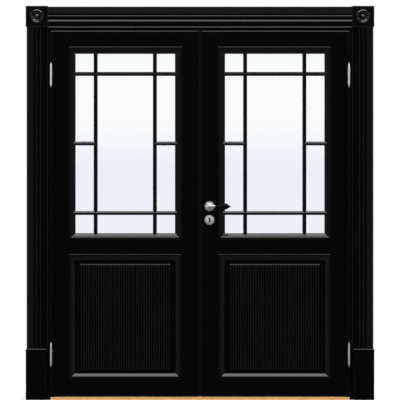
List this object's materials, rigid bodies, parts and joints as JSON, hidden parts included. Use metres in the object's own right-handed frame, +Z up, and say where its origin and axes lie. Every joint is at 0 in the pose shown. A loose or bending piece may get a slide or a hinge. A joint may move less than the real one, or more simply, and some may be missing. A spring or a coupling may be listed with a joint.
{
  "type": "double interior door",
  "caption": "Black painted double interior door with glazed panes, reeded lower panels, pin hinges, a lever lock, cased frame and oak threshold.",
  "frame": {"origin": "middle of the threshold's underside, on the floor line", "axes": "+X to the right seen from the front, +Y through the opening to the back, +Z up"},
  "size_m": [1.941, 0.173, 2.196],
  "materials": {
    "black_paint": "satin black paint on wood",
    "oak": "clear varnished oak",
    "clear_glass": "clear float glass",
    "satin_nickel": "satin nickel plate",
    "bright_zinc": "bright zinc plate",
    "lock_steel": "plain steel",
    "black_grip": "polished black",
    "seal_rubber": "matt black rubber"
  },
  "bodies": {
    "frame": {"left_jamb": "black_paint", "right_jamb": "black_paint", "head_jamb": "black_paint", "left_stop": "black_paint", "right_stop": "black_paint", "head_stop": "black_paint", "threshold": "oak", "left_casing": "black_paint", "right_casing": "black_paint", "head_casing": "black_paint", "left_corner_block": "black_paint", "right_corner_block": "black_paint", "left_plinth": "black_paint", "right_plinth": "black_paint", "rebate_seal": "seal_rubber", "left_hinge_frame_halves": "bright_zinc", "right_hinge_frame_halves": "bright_zinc", "hinge_pins": "bright_zinc", "head_keep": "lock_steel", "threshold_keep": "lock_steel"},
    "left_leaf": {"left_hinge_stile": "black_paint", "left_meeting_stile": "black_paint", "left_top_rail": "black_paint", "left_lock_rail": "black_paint", "left_bottom_rail": "black_paint", "left_glass": "clear_glass", "left_glazing_bars": "black_paint", "left_glazing_front": "black_paint", "left_glazing_back": "black_paint", "left_panel": "black_paint", "left_panel_moulding_front": "black_paint", "left_panel_moulding_back": "black_paint", "left_hinge_leaf_halves": "bright_zinc", "strike_plate": "lock_steel", "flush_bolt_plates": "lock_steel"},
    "right_leaf": {"right_hinge_stile": "black_paint", "right_meeting_stile": "black_paint", "right_top_rail": "black_paint", "right_lock_rail": "black_paint", "right_bottom_rail": "black_paint", "right_glass": "clear_glass", "right_glazing_bars": "black_paint", "right_glazing_front": "black_paint", "right_glazing_back": "black_paint", "right_panel": "black_paint", "right_panel_moulding_front": "black_paint", "right_panel_moulding_back": "black_paint", "right_hinge_leaf_halves": "bright_zinc", "lock_case": "lock_steel", "roses": "satin_nickel", "escutcheons": "satin_nickel"},
    "lever_set": {"follower": "lock_steel", "spindle": "lock_steel", "lever_necks": "satin_nickel", "lever_grips": "black_grip"},
    "latch_bolt": {"latch_bolt": "lock_steel"},
    "dead_bolt": {"dead_bolt": "lock_steel"},
    "upper_flush_bolt": {"upper_flush_bolt": "lock_steel"},
    "lower_flush_bolt": {"lower_flush_bolt": "lock_steel"}
  },
  "joints": [
    {"name": "left_swing", "type": "hinge", "parent": "frame", "child": "left_leaf", "pos_m": [-0.83, -0.0635, 0], "axis": [0, 0, -1], "range_deg": [0, 110]},
    {"name": "right_swing", "type": "hinge", "parent": "frame", "child": "right_leaf", "pos_m": [0.83, -0.0635, 0], "axis": [0, 0, 1], "range_deg": [0, 110]},
    {"name": "lever_turn", "type": "hinge", "parent": "right_leaf", "child": "lever_set", "pos_m": [0.053, -0.035, 1.078], "axis": [0, 1, 0], "range_deg": [0, 40], "stiffness_Nm_per_rad": 1.2, "springref_deg": -20.05},
    {"name": "latch_slide", "type": "slide", "parent": "right_leaf", "child": "latch_bolt", "axis": [-1, 0, 0], "range_m": [0, 0.01]},
    {"name": "dead_bolt_slide", "type": "slide", "parent": "right_leaf", "child": "dead_bolt", "axis": [-1, 0, 0], "range_m": [0, 0.014]},
    {"name": "upper_flush_slide", "type": "slide", "parent": "left_leaf", "child": "upper_flush_bolt", "axis": [0, 0, 1], "range_m": [0, 0.015]},
    {"name": "lower_flush_slide", "type": "slide", "parent": "left_leaf", "child": "lower_flush_bolt", "axis": [0, 0, -1], "range_m": [0, 0.012]}
  ]
}
